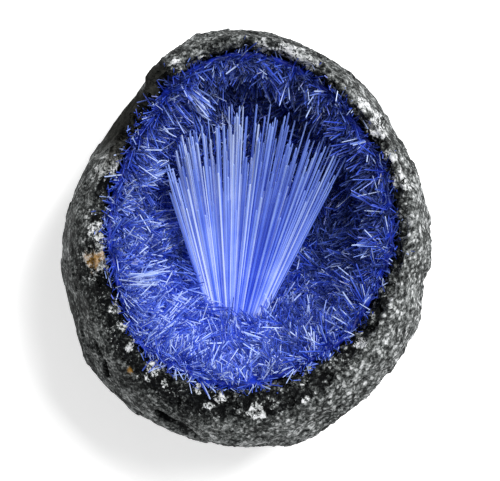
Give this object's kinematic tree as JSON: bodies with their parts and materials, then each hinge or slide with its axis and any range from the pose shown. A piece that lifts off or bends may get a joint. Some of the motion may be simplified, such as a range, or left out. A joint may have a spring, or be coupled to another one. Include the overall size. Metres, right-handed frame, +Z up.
{
  "type": "azurite specimen",
  "caption": "Egg-shaped speckled cobble, broken open, its hollow lined with short blue needles around a tall fan of long pale blue needles.",
  "frame": {"origin": "middle of the outline, on the surface the stone lies on", "axes": "+Z up out of the hollow's mouth, +Y along the long way towards the tips of the fan, +X to the right"},
  "size_m": [0.0858, 0.0956, 0.0495],
  "materials": {
    "rock": "rough speckled grey rock, matte",
    "blue_crystal": "deep blue needle crystals, glassy",
    "pale_crystal": "pale blue needle crystals, glassy"
  },
  "bodies": {
    "root": {"stone": "rock", "crystal_lining": "blue_crystal", "needle_fan": "pale_crystal"}
  },
  "joints": []
}
